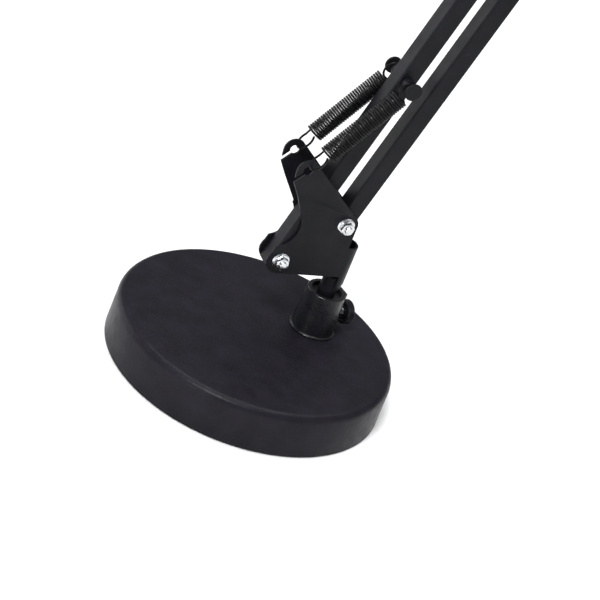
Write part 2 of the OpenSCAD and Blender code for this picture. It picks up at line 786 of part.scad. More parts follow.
// Half section of the shade's wall and rolled bead, z down from its top as negative
function shade_section() =
    let (drop = shade_h - neck_h,
        flare = (mouth_shade_r - neck_r) / drop,
        slant = shade_t * norm([1, flare]),
        shoulder = [neck_r - shoulder_r, -shoulder_r],
        bead = [mouth_shade_r + bead_r / 2, -shade_h + bead_r / 2])
    concat([[0, 0]], arc(shoulder, shoulder_r, 90, 0, 6),
        [[neck_r, -neck_h]],
        arc(bead, bead_r, 120, -150, 9),
        [[neck_r - shade_t, -neck_h - (slant - shade_t) / flare]],
        arc(shoulder, shoulder_r - shade_t, 0, 90, 6), [[0, -shade_t]]);

module shade() {
    color(black) at_shade() difference() {
        rotate_extrude($fn = 144) polygon(shade_section());
        for (side = [-1, 1]) translate([side * flange_screws, 0, -2 * shade_t])
            cylinder(r = shade_screw_r + run_gap, h = 4 * shade_t);
        for (i = [0 : vents - 1]) rotate([0, 0, (i + 0.5) * 360 / vents])
            translate([neck_r - 4 * shade_t, -vent[0] / 2, -neck_h + vent[2]])
                cube([8 * shade_t, vent[0], vent[1]]);
        translate([0, 0, -switch_z]) rotate([0, -90, 0])
            cylinder(r = neck_hole_r + run_gap, h = 2 * neck_r);
        translate([0, 0, -gland_z]) rotate([0, 90, 0])
            cylinder(r = neck_hole_r + run_gap, h = 2 * neck_r);
    }
}

module lampholder_body() {
    color(dark) at_shade() translate([0, 0, -holder_top - holder_h]) difference() {
        cylinder(r = holder_r, h = holder_h + holder_top - shade_t);
        translate([0, 0, -past])
            cylinder(r = holder_bore_r + run_gap, h = holder_h - holder_wall + past);
        for (side = [-1, 1]) translate([side * flange_screws, 0, holder_h - 2 * shade_screw_in])
            cylinder(r = shade_screw_r + run_gap, h = 2 * shade_screw_in + holder_top);
    }
}

module lampholder_shell() {
    shell_h = holder_h - holder_wall - 2;
    color(brass) at_shade() translate([0, 0, -holder_top - holder_wall - shell_h]) difference() {
        cylinder(r = holder_bore_r, h = shell_h);
        translate([0, 0, -past]) cylinder(r = holder_bore_r - shell_t, h = shell_h + 2 * past);
    }
}

module lampholder_contact() {
    color(brass) at_shade() translate([0, 0, -holder_top - holder_wall - contact_t])
        cylinder(r = contact_r, h = contact_t);
}

module lampholder_ring() {
    color(dark) at_shade() translate([0, 0, -holder_top - holder_h + ring_lift]) difference() {
        cylinder(r = holder_r + ring_t, h = ring_h);
        translate([0, 0, -past]) cylinder(r = holder_r + run_gap, h = ring_h + 2 * past);
    }
}

// Pear shape of the bulb, grown inwards by t and open at its neck
module bulb_shape(t) {
    translate([0, 0, bulb_r]) sphere(r = bulb_r - t);
    translate([0, 0, bulb_r])
        cylinder(r1 = bulb_r - t, r2 = cap_r - cap_t - t, h = bulb_h - bulb_r + (t > 0 ? past : 0));
}

module bulb_glass() {
    color(glass) at_shade() translate([0, 0, -glass_top - bulb_h]) difference() {
        bulb_shape(0);
        bulb_shape(glass_t);
    }
}

module bulb_cap() {
    color(zinc) at_shade() translate([0, 0, -glass_top]) difference() {
        union() {
            cylinder(r = cap_r, h = cap_h);
            translate([0, 0, cap_h]) cylinder(r1 = cap_r - 2, r2 = contact_r, h = contact_r);
        }
        translate([0, 0, -past]) cylinder(r = cap_r - cap_t, h = cap_h);
    }
}

module switch_body() {
    color(dark) at_shade() translate([0, 0, -switch_z]) rotate([0, -90, 0]) difference() {
        union() {
            translate([0, 0, neck_r - switch_inside])
                cylinder(r = neck_hole_r, h = switch_inside + switch_outside);
            translate([0, 0, neck_r + seat_gap])
                cylinder(r = switch_collar[0], h = switch_collar[1]);
        }
        translate([0, 0, neck_r - spindle_free])
            cylinder(r = spindle_r + run_gap, h = spindle_free + switch_outside + past);
    }
}

module switch_knob() {
    color(black) at_shade() translate([0, 0, -switch_z]) rotate([0, -90, 0]) {
        translate([0, 0, neck_r - spindle_in])
            cylinder(r = spindle_r, h = spindle_in + switch_lift + past);
        translate([0, 0, neck_r + switch_lift]) cylinder(r = switch_r, h = switch_h);
    }
}

module cord_gland() {
    color(dark) at_shade() translate([0, 0, -gland_z]) rotate([0, 90, 0]) difference() {
        union() {
            translate([0, 0, neck_r - gland_inside])
                cylinder(r = neck_hole_r, h = gland_inside + seat_gap + gland_collar[1]);
            translate([0, 0, neck_r + seat_gap]) cylinder(r = gland_collar[0], h = gland_collar[1]);
            translate([0, 0, neck_r + seat_gap + gland_collar[1]])
                cylinder(r1 = neck_hole_r, r2 = gland_tip[0], h = gland_tip[1]);
        }
        translate([0, 0, neck_r - gland_inside - past]) cylinder(r = gland_bore_r,
            h = gland_inside + seat_gap + gland_collar[1] + gland_tip[1] + 2 * past);
    }
}

base_cover();
base_weight();
base_board();
base_pad();
post_socket();
post_screw();
post_washer();
thumb_knob();
thumb_stud();
swivel_bracket();
lower_pivot_bolts();
lower_pivot_nuts();
lower_pivot_sleeves();
lower_rear_bar();
lower_front_bar();
lower_spring_pin();
lower_spring_near();
lower_spring_far();
elbow_plate_near();
elbow_plate_far();
elbow_bolts();
elbow_nuts();
elbow_sleeves();
upper_lower_bar();
upper_top_bar();
upper_spring_pin();
upper_spring_near();
upper_spring_far();
head_plate_near();
head_plate_far();
head_bolts();
head_nuts();
head_sleeves();
tilt_bolt();
tilt_washer();
tilt_knob();
shade_arm();
shade_screws();
shade();
lampholder_body();
lampholder_shell();
lampholder_contact();
lampholder_ring();
bulb_glass();
bulb_cap();
switch_body();
switch_knob();
cord_gland();
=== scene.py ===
"""Architect desk lamp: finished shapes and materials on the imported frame. Metres, +Z up."""

import json
import math

import bmesh
import bpy
from bpy.props import FloatProperty, FloatVectorProperty, IntProperty, PointerProperty
from mathutils import Matrix, Vector

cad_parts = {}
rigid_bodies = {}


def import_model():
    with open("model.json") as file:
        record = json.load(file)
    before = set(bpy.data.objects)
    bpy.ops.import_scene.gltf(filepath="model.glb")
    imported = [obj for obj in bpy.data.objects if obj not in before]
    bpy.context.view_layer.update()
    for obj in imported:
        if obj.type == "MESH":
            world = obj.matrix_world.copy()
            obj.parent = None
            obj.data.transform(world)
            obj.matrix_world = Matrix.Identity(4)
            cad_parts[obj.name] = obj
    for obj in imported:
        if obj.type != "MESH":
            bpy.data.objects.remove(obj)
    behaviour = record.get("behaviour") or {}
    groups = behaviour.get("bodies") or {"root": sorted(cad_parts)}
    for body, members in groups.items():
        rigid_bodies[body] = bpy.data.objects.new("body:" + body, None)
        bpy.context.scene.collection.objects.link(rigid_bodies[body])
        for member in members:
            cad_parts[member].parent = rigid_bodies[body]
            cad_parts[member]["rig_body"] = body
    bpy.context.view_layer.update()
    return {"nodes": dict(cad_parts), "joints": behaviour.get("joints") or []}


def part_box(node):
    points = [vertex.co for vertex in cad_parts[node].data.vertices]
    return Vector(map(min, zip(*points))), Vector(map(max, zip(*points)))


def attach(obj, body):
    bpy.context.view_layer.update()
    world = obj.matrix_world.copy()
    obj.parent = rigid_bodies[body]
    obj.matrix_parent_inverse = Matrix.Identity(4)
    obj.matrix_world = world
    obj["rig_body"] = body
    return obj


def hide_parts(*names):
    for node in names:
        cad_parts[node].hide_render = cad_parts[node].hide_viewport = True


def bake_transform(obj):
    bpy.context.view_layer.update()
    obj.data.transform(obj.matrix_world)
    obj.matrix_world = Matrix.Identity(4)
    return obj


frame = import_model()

bl_info = {
    "name": "Architect desk lamp",
    "version": (1, 0, 0),
    "blender": (4, 5, 0),
    "location": "View3D > Sidebar > Lamp",
    "description": "Builds the finished pieces of an architect desk lamp",
    "category": "Add Mesh",
}

MM = 0.001
TURN = 2 * math.pi

# How meshes are merged, shaded and rounded
SAME_POINT = 1e-7
SAME_NODE_POINT = 1e-6
FLAT_ANGLE = math.radians(0.6)
FOLD_ANGLE = math.radians(40)
KNURL_FOLD_ANGLE = math.radians(28)
RIB_FOLD_ANGLE = math.radians(30)
ROUNDED_ANGLE = math.radians(32)
ROUNDED_SEGMENTS = 2

# Hexagon of nuts and bolt heads, whose outer end is cut to a cone by a ring of planes
CHAMFER_CUTS = 36
CHAMFER_SLOPE = math.radians(62)
CHAMFER_REACH = 0.485
HEXAGON_SINK = 0.1 * MM

# Flange under the hexagon
FLANGE_BREAK = 0.15 * MM
FLANGE_CORNER = 0.2 * MM
FLANGE_RISE = 0.3 * MM
FLANGE_INNER = 0.47

# Thread ridges, as shares of the bolt's radius and of the pitch
THREAD_ROOT = 0.88
CREST_START = 0.38
CREST_END = 0.52
TIP_ROOT = 0.86
TIP_END = 0.62
TIP_RISE = 0.12

# Bolt inside the nut and the plates, and the recess in its head as (radius, height)
THREAD_INSIDE = 1.2 * MM
SHANK_INSIDE = 0.3 * MM
HEAD_RECESS = [(0.0, 3.7), (1.6, 4.1), (2.1, 4.62), (2.3, 4.62), (2.3, 4.5)]

# Turns of the nuts about their bolts, in degrees
LOWER_NUT_TURNS = (8, -14)
ELBOW_NUT_TURNS = (20, -6, 11, 27)
HEAD_NUT_TURNS = (-9, 16)

# Spring wire: the loop in the hook's eye and the loop around the pin, angles in degrees
HOOK_LOOP_START = -28
HOOK_LOOP_SWEEP = -262
HOOK_LOOP_STEPS = 24
HOOK_LOOP_CLEAR = 0.4 * MM
PIN_LOOP_START = 215
PIN_LOOP_SWEEP = -315
PIN_LOOP_STEPS = 18
PIN_LOOP_SIZE = 1.05
POINTS_PER_TURN = 20

# Studio: the floor and the sky
FLOOR_HALF = 6.0
FLOOR_CELLS = 8
SKY_COLOUR = (0.93, 0.96, 1.0, 1.0)
SKY_STRENGTH = 0.22

# Square softboxes as name, place, side in metres and power in watts
LIGHT_AIM = Vector((0.0, 0.0, 0.12))
SOFTBOXES = (
    ("key_softbox", (-1.15, -1.0, 2.1), 0.6, 50.0),
    ("back_softbox", (-1.8, 2.2, 0.8), 2.0, 28.0),
    ("edge_softbox", (-1.9, -1.2, 0.4), 0.5, 9.0),
    ("top_softbox", (0.3, 0.5, 2.6), 2.2, 60.0),
    ("fill_softbox", (1.4, -1.8, 1.1), 1.6, 6.0),
)

# Camera: lens and sensor in millimetres
CAMERA_PLACE = Vector((-0.5650, -0.9786, 0.6811))
CAMERA_AIM = Vector((0.02956, 0.01409, 0.04718))
CAMERA_ROLL = math.radians(22.531)
CAMERA_LENS = 120.1
SENSOR_WIDTH = 36.0
FAR_CLIP = 50.0


def joint_facts(name):
    """What the frame says about one joint."""
    for facts in frame["joints"]:
        if facts["name"] == name:
            return facts
    raise ValueError(f"the frame has no joint named {name}")


def joint_place(name):
    """The point that a joint of the frame turns about."""
    return Vector(joint_facts(name)["pos_m"])


# Pivots of the two parallel arms and of the shade, the post, and the turned knobs
REAR = joint_place("lower_arm")
FRONT = joint_place("lower_front_hinge")
ELBOW_REAR = joint_place("elbow_hinge")
ELBOW_FRONT = ELBOW_REAR + FRONT - REAR
UPPER_LOW = joint_place("upper_lower_hinge")
UPPER_TOP = joint_place("upper_arm")
HEAD_TOP = joint_place("head_hinge")
HEAD_LOW = HEAD_TOP + UPPER_LOW - UPPER_TOP
TILT = joint_place("shade_tilt")
POST = joint_place("base_swivel")
THUMB = joint_place("thumb_screw_turn")
SWITCH = joint_place("switch_turn")


# ---- Sizes and colours ----

def length(name, description, millimetres, low=0.05, high=2000.0):
    """A length that a user can change, given in millimetres."""
    return FloatProperty(name=name, description=description, default=millimetres * MM,
                         min=low * MM, max=high * MM, subtype="DISTANCE", unit="LENGTH",
                         precision=5)


def place(name, description, millimetres):
    """A place that a user can change, given in millimetres."""
    return FloatVectorProperty(name=name, description=description, size=3, precision=5,
                               default=[value * MM for value in millimetres],
                               subtype="TRANSLATION", unit="LENGTH")


def colour(name, description, value):
    """A linear colour that a user can change."""
    return FloatVectorProperty(name=name, description=description, default=value, size=3,
                               min=0.0, max=1.0, subtype="COLOR")


def share(name, description, value):
    """A number between nought and one that a user can change."""
    return FloatProperty(name=name, description=description, default=value,
                         min=0.0, max=1.0, subtype="FACTOR")


class LampBaseSizes(bpy.types.PropertyGroup):
    """Sizes of the base, the post and the thumb screw."""
    radius: length("Base radius", "Radius of the base at the table", 95.0)
    height: length("Base height", "Height of the base", 30.7)
    draft: length("Base lean", "Inward lean of the side wall", 0.6)
    edge: length("Base edge", "Radius of the rounded upper edge", 5.0)
    sheet: length("Cover sheet", "Thickness of the pressed cover", 1.2)
    lift: length("Rim height", "Height of the cover's rim over the table", 0.8)
    knob_radius: length("Thumb screw radius", "Radius of the knurled head", 8.3)
    knob_thickness: length("Thumb screw thickness", "Thickness of the knurled head", 5.5)
    knob_out: length("Thumb screw reach", "Inner face of the head from the post's axis", 19.4)
    knurls: IntProperty(name="Knurls", description="Ridges around the head", default=44,
                        min=12, max=120)


class LampFastenerSizes(bpy.types.PropertyGroup):
    """Sizes of the pivot bolts and nuts."""
    shank: length("Bolt radius", "Radius of the pivot bolts", 2.5)
    flange: length("Flange radius", "Radius of the flange under nut and head", 5.9)
    rim: length("Flange rim", "Thickness of the flange at its rim", 0.7)
    flats: length("Across flats", "Width of the hexagon across its flats", 8.0)
    hexagon: length("Hexagon height", "Height of the hexagon over the plate", 4.6)
    out: length("Thread beyond nut", "Length of thread that stands out of a nut", 1.5)
    pitch: length("Thread pitch", "Distance between two thread ridges", 0.8)


class LampSpringSizes(bpy.types.PropertyGroup):
    """Sizes of the tension springs."""
    wire: length("Wire radius", "Radius of the spring wire", 0.76)
    coil: length("Coil radius", "Radius of the coil at the wire's middle", 5.49)
    pitch: length("Coil pitch", "Distance between two turns", 1.72)
    hook_lead: length("Hook lead", "From the hook's eye to the first turn", 15.6)
    pin_lead: length("Pin lead", "From the last turn to the pin", 9.0)
    eye: length("Eye radius", "Radius of a hook's eye", 3.2)
    pin: length("Pin radius", "Radius of a spring pin", 1.9)
    lower_hook: place("Lower hook", "Hook's eye from the lower rear pivot", (-8.7, 0.0, 70.0))
    upper_hook: place("Upper hook", "Hook's eye from the upper arm's top pivot", (3.0, 0.0, 56.0))


class LampHeadSizes(bpy.types.PropertyGroup):
    """Sizes of the bulb and the switch."""
    bulb_radius: length("Bulb radius", "Widest radius of the bulb", 27.0)
    neck_radius: length("Bulb neck", "Radius of the glass at the cap", 12.3)
    switch_radius: length("Switch radius", "Radius of the switch knob", 8.0)
    switch_height: length("Switch height", "Height of the switch knob", 9.0)
    neck: length("Shade neck radius", "Outside radius of the shade's neck", 31.0)
    switch_lift: length("Switch lift", "Gap between the neck and the switch knob", 3.4)


class LampColours(bpy.types.PropertyGroup):
    """Colours and gloss of the finishes."""
    coat: colour("Powder coat", "Satin black of sheet and tube", (0.0064, 0.0066, 0.0086))
    base: colour("Base coat", "Black of the round base", (0.0098, 0.0089, 0.0124))
    plastic: colour("Black plastic", "Moulded knobs and switch", (0.0080, 0.0080, 0.0092))
    wire: colour("Spring wire", "Black spring wire", (0.0022, 0.0022, 0.0028))
    zinc: colour("Zinc", "Bright zinc plate", (0.60, 0.62, 0.66))
    brass: colour("Brass", "Plain brass", (0.62, 0.44, 0.16))
    enamel: colour("Inner enamel", "White inside of the shade", (0.72, 0.71, 0.68))
    floor: colour("Floor", "Pale floor and backdrop", (0.93, 0.93, 0.93))
    gloss: share("Coat roughness", "Roughness of the powder coat", 0.38)


GROUPS = {"lamp_base": LampBaseSizes, "lamp_fasteners": LampFastenerSizes,
          "lamp_springs": LampSpringSizes, "lamp_head": LampHeadSizes,
          "lamp_colours": LampColours}


def settings(group):
    """One group of the sizes or colours."""
    return getattr(bpy.context.scene, group)


# ---- Materials ----

def link(tree, source, target):
    """Joins one node's output to another's input."""
    tree.links.new(source, target)


def noise(tree, scale, detail=3.0, stretch=(1.0, 1.0, 1.0)):
    """Soft noise on the object's own coordinates; scale is in waves per metre."""
    coords = tree.nodes.new("ShaderNodeTexCoord")
    mapping = tree.nodes.new("ShaderNodeMapping")
    mapping.inputs["Scale"].default_value = stretch
    texture = tree.nodes.new("ShaderNodeTexNoise")
    texture.inputs["Scale"].default_value = scale
    texture.inputs["Detail"].default_value = detail
    link(tree, coords.outputs["Object"], mapping.inputs["Vector"])
    link(tree, mapping.outputs["Vector"], texture.inputs["Vector"])
    return texture.outputs["Fac"]


def levels(tree, value, low, high, bottom=0.35, top=0.65):
    """Stretches a value between bottom and top to run from low to high."""
    node = tree.nodes.new("ShaderNodeMapRange")
    node.inputs["From Min"].default_value = bottom
    node.inputs["From Max"].default_value = top
    node.inputs["To Min"].default_value = low
    node.inputs["To Max"].default_value = high
    link(tree, value, node.inputs["Value"])
    return node.outputs["Result"]


def blend_colours(tree, factor, first, second):
    """Mixes two colours; each is a colour or a socket."""
    node = tree.nodes.new("ShaderNodeMix")
    node.data_type = "RGBA"
    link(tree, factor, node.inputs["Factor"])
    for socket, value in ((node.inputs["A"], first), (node.inputs["B"], second)):
        if isinstance(value, bpy.types.NodeSocket):
            link(tree, value, socket)
        else:
            socket.default_value = (*value, 1.0)
    return node.outputs["Result"]


def bumps(tree, shader, heights):
    """Adds bumps of (height socket, strength, depth in metres) to a shader."""
    previous = None
    for height, strength, depth in heights:
        node = tree.nodes.new("ShaderNodeBump")
        node.inputs["Strength"].default_value = strength
        node.inputs["Distance"].default_value = depth
        link(tree, height, node.inputs["Height"])
        if previous:
            link(tree, previous, node.inputs["Normal"])
        previous = node.outputs["Normal"]
    link(tree, previous, shader.inputs["Normal"])


def tinted(tint, factor):
    """A colour made lighter or darker."""
    return tuple(min(1.0, channel * factor) for channel in tint)


def blank(name):
    """A new material with its node tree and its main shader."""
    material = bpy.data.materials.new(name)
    material.use_nodes = True
    return material, material.node_tree, material.node_tree.nodes["Principled BSDF"]


def coated_steel(name, tint, roughness, grain=0.00035, peel=0.3, dust=0.4, specular=0.13):
    """Powder coat: a fine orange peel, soft mottling in tone and gloss, and a little dust."""
    material, tree, shader = blank(name)
    mottle = noise(tree, 55.0, 5.0)
    tone = blend_colours(tree, levels(tree, mottle, 0.0, 1.0),
                         tinted(tint, 0.8), tinted(tint, 1.25))
    fine = noise(tree, 0.5 / grain, 2.0)
    tone = blend_colours(tree, levels(tree, fine, 0.0, 0.35), tone, tinted(tint, 1.9))
    specks = levels(tree, noise(tree, 1500.0, 1.0), 0.0, dust, 0.76, 0.80)
    link(tree, blend_colours(tree, specks, tone, (0.12, 0.115, 0.11)), shader.inputs["Base Color"])
    gloss = levels(tree, noise(tree, 130.0, 4.0), roughness - 0.05, roughness + 0.06)
    link(tree, gloss, shader.inputs["Roughness"])
    shader.inputs["Specular IOR Level"].default_value = specular
    bumps(tree, shader, [(noise(tree, 0.25 / grain, 2.0), peel, 0.6 * grain),
                         (fine, 0.5 * peel, 0.25 * grain)])
    return material


def plated_steel(name, tint, roughness):
    """Zinc plate: faint cool and warm clouds, uneven gloss and fine drawn scratches."""
    material, tree, shader = blank(name)
    clouds = levels(tree, noise(tree, 220.0, 4.0), 0.0, 1.0)
    warm = (tint[0], tint[1] * 0.97, tint[2] * 0.90)
    link(tree, blend_colours(tree, clouds, warm, tinted(tint, 1.08)), shader.inputs["Base Color"])
    shader.inputs["Metallic"].default_value = 1.0
    rubbed = levels(tree, noise(tree, 700.0, 5.0), roughness - 0.07, roughness + 0.12)
    link(tree, rubbed, shader.inputs["Roughness"])
    bumps(tree, shader, [(noise(tree, 2600.0, 3.0, (1.0, 0.15, 1.0)), 0.25, 0.00004),
                         (noise(tree, 900.0, 2.0), 0.15, 0.00006)])
    return material


def moulded_plastic(name, tint, roughness):
    """Moulded plastic: a spark-eroded grain with slightly shiny high spots."""
    material, tree, shader = blank(name)
    grain = noise(tree, 2800.0, 3.0)
    tone = levels(tree, noise(tree, 90.0, 4.0), 0.0, 1.0)
    link(tree, blend_colours(tree, tone, tinted(tint, 0.8), tinted(tint, 1.3)),
         shader.inputs["Base Color"])
    link(tree, levels(tree, grain, roughness + 0.08, roughness - 0.06), shader.inputs["Roughness"])
    shader.inputs["Specular IOR Level"].default_value = 0.4
    bumps(tree, shader, [(grain, 0.4, 0.00007)])
    return material


def drawn_wire(name, tint, roughness):
    """Oiled black spring wire with worn brownish high spots."""
    material, tree, shader = blank(name)
    worn = levels(tree, noise(tree, 1300.0, 4.0), 0.0, 1.0, 0.45, 0.75)
    link(tree, blend_colours(tree, worn, tint, (0.012, 0.011, 0.010)), shader.inputs["Base Color"])
    link(tree, levels(tree, noise(tree, 500.0, 3.0), roughness - 0.06, roughness + 0.1),
         shader.inputs["Roughness"])
    shader.inputs["Specular IOR Level"].default_value = 0.22
    bumps(tree, shader, [(noise(tree, 3200.0, 2.0), 0.2, 0.00003)])
    return material


def rough_block(name, tints, scale, roughness, depth, stretch=(1.0, 1.0, 1.0)):
    """Raw iron, board and foam: two mixed tones with a coarse bump."""
    material, tree, shader = blank(name)
    body = noise(tree, scale, 6.0, stretch)
    fine = noise(tree, scale * 7.0, 3.0, stretch)
    tone = blend_colours(tree, levels(tree, body, 0.0, 1.0), tints[0], tints[1])
    link(tree, blend_colours(tree, levels(tree, fine, 0.0, 0.5), tone, tinted(tints[0], 0.6)),
         shader.inputs["Base Color"])
    link(tree, levels(tree, fine, roughness, min(1.0, roughness + 0.15)),
         shader.inputs["Roughness"])
    bumps(tree, shader, [(body, 0.6, depth), (fine, 0.4, depth * 0.4)])
    return material


def bulb_glass_finish(name):
    """Frosted glass: milky, with a soft uneven etch."""
    material, tree, shader = blank(name)
    etch = noise(tree, 260.0, 5.0)
    link(tree, blend_colours(tree, levels(tree, etch, 0.0, 1.0), (0.86, 0.86, 0.84),
                             (0.93, 0.93, 0.91)), shader.inputs["Base Color"])
    link(tree, levels(tree, etch, 0.22, 0.34), shader.inputs["Roughness"])
    shader.inputs["Transmission Weight"].default_value = 0.35
    shader.inputs["Subsurface Weight"].default_value = 0.15
    shader.inputs["Subsurface Radius"].default_value = (0.004, 0.004, 0.004)
    bumps(tree, shader, [(noise(tree, 3000.0, 2.0), 0.12, 0.00003)])
    return material


def paper_floor(name, tint):
    """Pale seamless paper with the faintest tone."""
    material, tree, shader = blank(name)
    cloud = levels(tree, noise(tree, 2.0, 2.0), 0.0, 1.0)
    link(tree, blend_colours(tree, cloud, tint, tinted(tint, 1.02)), shader.inputs["Base Color"])
    link(tree, levels(tree, noise(tree, 6.0, 2.0), 0.85, 0.95), shader.inputs["Roughness"])
    shader.inputs["Specular IOR Level"].default_value = 0.1
    return material


FINISHES = {}


def make_finishes():
    """Makes each material once, from the user's colours."""
    tints = settings("lamp_colours")
    satin = tints.gloss
    FINISHES.update(
        coat=coated_steel("satin_black_powder_coat", tints.coat, satin),
        base=coated_steel("base_black_powder_coat", tints.base, satin, 0.0005, 0.4, 0.35, 0.105),
        cast=coated_steel("cast_socket_enamel", tints.coat, satin - 0.08, 0.0006, 0.35, 0.3, 0.35),
        plastic=moulded_plastic("black_moulded_plastic", tints.plastic, 0.36),
        wire=drawn_wire("black_spring_wire", tints.wire, 0.34),
        zinc=plated_steel("bright_zinc_plate", tints.zinc, 0.17),
        brass=plated_steel("plain_brass", tints.brass, 0.3),
        iron=rough_block("raw_cast_iron", ((0.09, 0.088, 0.085), (0.14, 0.135, 0.13)),
                         300.0, 0.6, 0.0003),
        board=rough_block("fibreboard", ((0.20, 0.13, 0.08), (0.28, 0.19, 0.12)), 180.0, 0.75,
                          0.0001, (1.0, 0.25, 1.0)),
        foam=rough_block("black_foam", ((0.018, 0.018, 0.018), (0.03, 0.03, 0.03)),
                         1500.0, 0.85, 0.0003),
        enamel=coated_steel("white_inner_enamel", tints.enamel, 0.4, 0.0006, 0.25, 0.1, 0.5),
        glass=bulb_glass_finish("frosted_bulb_glass"),
        floor=paper_floor("pale_paper", tints.floor),
    )


# ---- Modelling ----

def lathe(bm, profile, steps=96, closed=True):
    """Spins a profile of (radius, height) points, in millimetres, about Z."""
    known = set(bm.verts)
    points = [bm.verts.new((r * MM, 0.0, z * MM)) for r, z in profile]
    edges = [bm.edges.new(pair) for pair in zip(points, points[1:])]
    if closed:
        edges.append(bm.edges.new((points[-1], points[0])))
    bmesh.ops.spin(bm, geom=points + edges, cent=(0, 0, 0), axis=(0, 0, 1), angle=TURN,
                   steps=steps, use_merge=True)
    fresh = [v for v in bm.verts if v not in known]
    bmesh.ops.remove_doubles(bm, verts=fresh, dist=SAME_POINT)


def turned(axis, place):
    """Puts a piece made along +Z along another axis, at a place."""
    turn = Vector((0, 0, 1)).rotation_difference(Vector(axis))
    return Matrix.Translation(place) @ turn.to_matrix().to_4x4()


def put(bm, matrix, make, *arguments, **options):
    """Makes a shape in a bmesh and moves only that shape."""
    known = set(bm.verts)
    make(bm, *arguments, **options)
    bmesh.ops.transform(bm, matrix=matrix, verts=[v for v in bm.verts if v not in known])


def press_columns(bm, columns, first, every, from_radius, depth):
    """Moves some of a lathed rim's columns of points inwards, which leaves ridges between them."""
    for v in bm.verts:
        column = round(math.atan2(v.co.y, v.co.x) % TURN / TURN * columns)
        radius = math.hypot(v.co.x, v.co.y)
        if radius > from_radius and (column - first) % every == 0:
            v.co.x *= 1 - depth / radius
            v.co.y *= 1 - depth / radius


def add_object(name, bm):
    """Turns a bmesh into an object of the scene, at the origin."""
    mesh = bpy.data.meshes.new(name)
    bm.to_mesh(mesh)
    bm.free()
    piece = bpy.data.objects.new(name, mesh)
    bpy.context.scene.collection.objects.link(piece)
    return piece


def make_object(name, bm, keep_sharp=FOLD_ANGLE):
    """Turns a bmesh into an object with smooth faces and sharp folds."""
    bmesh.ops.remove_doubles(bm, verts=bm.verts[:], dist=SAME_POINT)
    bmesh.ops.recalc_face_normals(bm, faces=bm.faces[:])
    for face in bm.faces:
        face.smooth = True
    for edge in bm.edges:
        if len(edge.link_faces) == 2 and edge.calc_face_angle(0.0) > keep_sharp:
            edge.smooth = False
    return add_object(name, bm)


def settle(piece, body, nodes, finishes):
    """Gives a finished mesh its materials, its body and the nodes it stands for.

    A piece with no body is attached to no body and stays where it was made."""
    for finish in finishes:
        piece.data.materials.append(FINISHES[finish])
    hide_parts(*nodes)
    if body:
        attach(piece, body)


def dress(node, name, finishes=("coat",), edge=0.3, inner=None):
    """A closed copy of a frame node with rounded edges, in its place on the same body.

    The edge is in millimetres. inner, a function of a face's middle and normal, picks the
    faces that take the second finish."""
    source = frame["nodes"][node]
    bm = bmesh.new()
    bm.from_mesh(source.data)
    bmesh.ops.remove_doubles(bm, verts=bm.verts[:], dist=SAME_NODE_POINT)
    bmesh.ops.dissolve_limit(bm, angle_limit=FLAT_ANGLE, verts=bm.verts[:], edges=bm.edges[:])
    bm.normal_update()
    for face in bm.faces:
        face.material_index = 0
        face.smooth = True
        if inner and inner(face.calc_center_median(), face.normal):
            face.material_index = 1
    piece = add_object(name, bm)
    rounding = piece.modifiers.new("rounded_edges", "BEVEL")
    rounding.width = edge * MM
    rounding.segments = ROUNDED_SEGMENTS
    rounding.limit_method = "ANGLE"
    rounding.angle_limit = ROUNDED_ANGLE
    rounding.use_clamp_overlap = True
    rounding.harden_normals = False
    shading = piece.modifiers.new("even_shading", "WEIGHTED_NORMAL")
    shading.keep_sharp = True
    settle(piece, source["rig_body"], [node], finishes)


def dress_all(pieces):
    """Dresses each of a list of (node, ending of the piece's name, slot, finishes, edge)."""
    for node, ending, slot, finishes, edge in pieces:
        dress(node, node + ending, finishes, edge)


def hexagon(bm, flats, low, high):
    """A hexagon with its outer end cut to a cone, along +Z. Sizes are in metres."""
    known = set(bm.verts)
    across = flats / math.sqrt(3)
    bmesh.ops.create_cone(bm, cap_ends=True, segments=6, radius1=across, radius2=across,
                          depth=high - low, matrix=Matrix.Translation((0, 0, (low + high) / 2)))
    for step in range(CHAMFER_CUTS):
        angle = TURN * step / CHAMFER_CUTS
        fresh = [v for v in bm.verts if v not in known]
        faces = {f for v in fresh for f in v.link_faces}
        edges = {e for v in fresh for e in v.link_edges}
        side = Vector((math.cos(angle), math.sin(angle), 0))
        normal = side * math.cos(CHAMFER_SLOPE) + Vector((0, 0, math.sin(CHAMFER_SLOPE)))
        at = side * flats * CHAMFER_REACH + Vector((0, 0, high))
        cut = bmesh.ops.bisect_plane(bm, geom=fresh + list(edges) + list(faces), dist=1e-8,
                                     plane_co=at, plane_no=normal, clear_outer=True)
        rim = [e for e in cut["geom_cut"] if isinstance(e, bmesh.types.BMEdge)]
        if len(rim) > 2:
            bmesh.ops.contextual_create(bm, geom=rim)


def lathe_metres(bm, profile, steps):
    """Spins an open profile of (radius, height) points in metres about Z."""
    lathe(bm, [(r / MM, z / MM) for r, z in profile], steps, closed=False)


def threaded_end(bm, radius, start, end, pitch):
    """The end of a bolt with thread ridges and a chamfered tip, in metres along +Z."""
    ridges = [(0.0, start)]
    turns = max(1, int((end - start) / pitch))
    step = (end - start) / turns
    for turn in range(turns):
        z = start + turn * step
        ridges += [(radius * THREAD_ROOT, z), (radius, z + CREST_START * step),
                   (radius, z + CREST_END * step)]
    tip = end + TIP_RISE * step
    ridges += [(radius * TIP_ROOT, end), (radius * TIP_END, tip), (0.0, tip)]
    lathe_metres(bm, ridges, 40)


